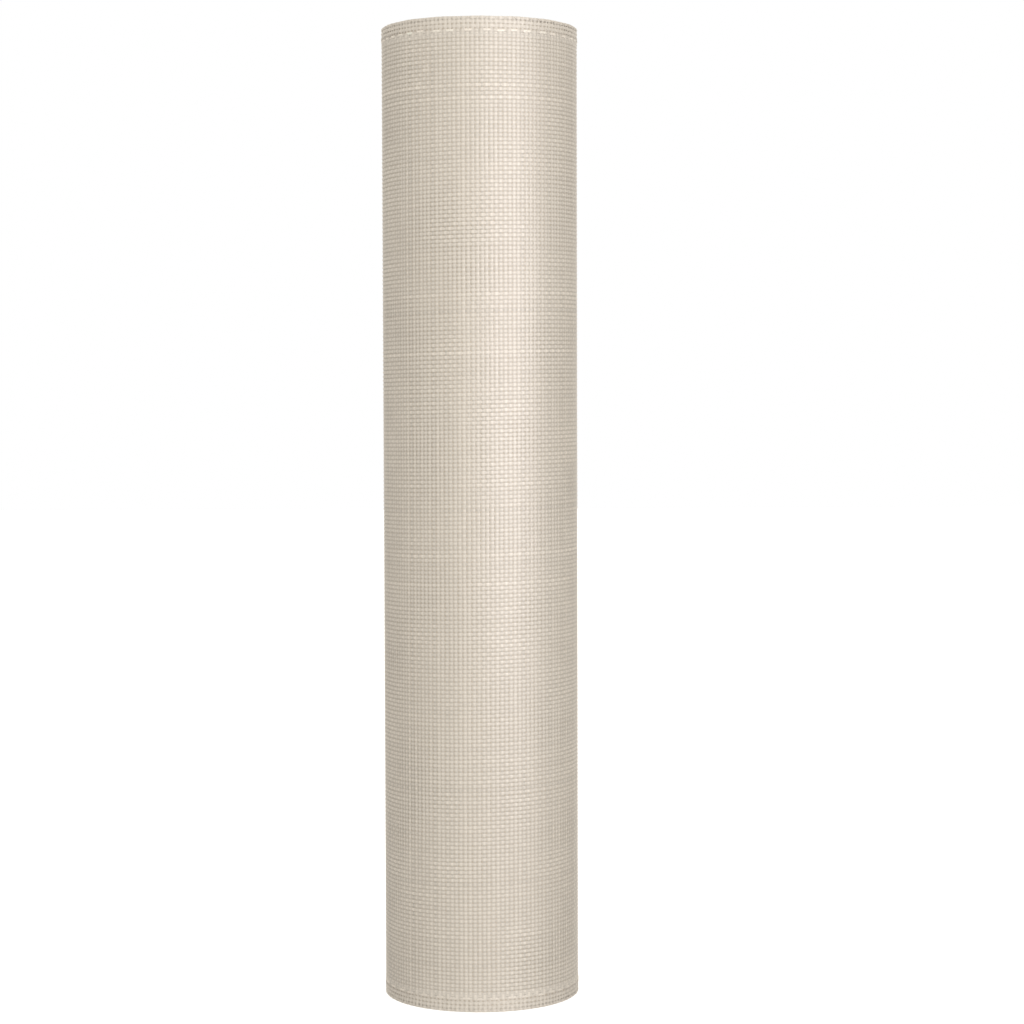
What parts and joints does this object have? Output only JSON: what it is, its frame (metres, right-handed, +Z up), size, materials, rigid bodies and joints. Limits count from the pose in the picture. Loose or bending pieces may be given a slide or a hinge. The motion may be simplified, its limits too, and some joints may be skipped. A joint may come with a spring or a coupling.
{
  "type": "aluminium wire mesh roll",
  "caption": "Standing roll of woven aluminium wire mesh, one sheet wound on itself around an open bore, with a folded edge at both ends.",
  "frame": {"origin": "centre of the roll's bottom end, on the axis of the bore", "axes": "+Z up along the roll's axis; -Y faces the camera of the picture; the sheet's free end is on the back, 120 degrees from +X towards +Y"},
  "size_m": [0.1243, 0.125, 0.61],
  "materials": {
    "aluminium_wire": "bright woven wire, satin, slightly uneven from wire to wire"
  },
  "bodies": {
    "root": {"mesh_roll": "aluminium_wire"}
  },
  "joints": []
}
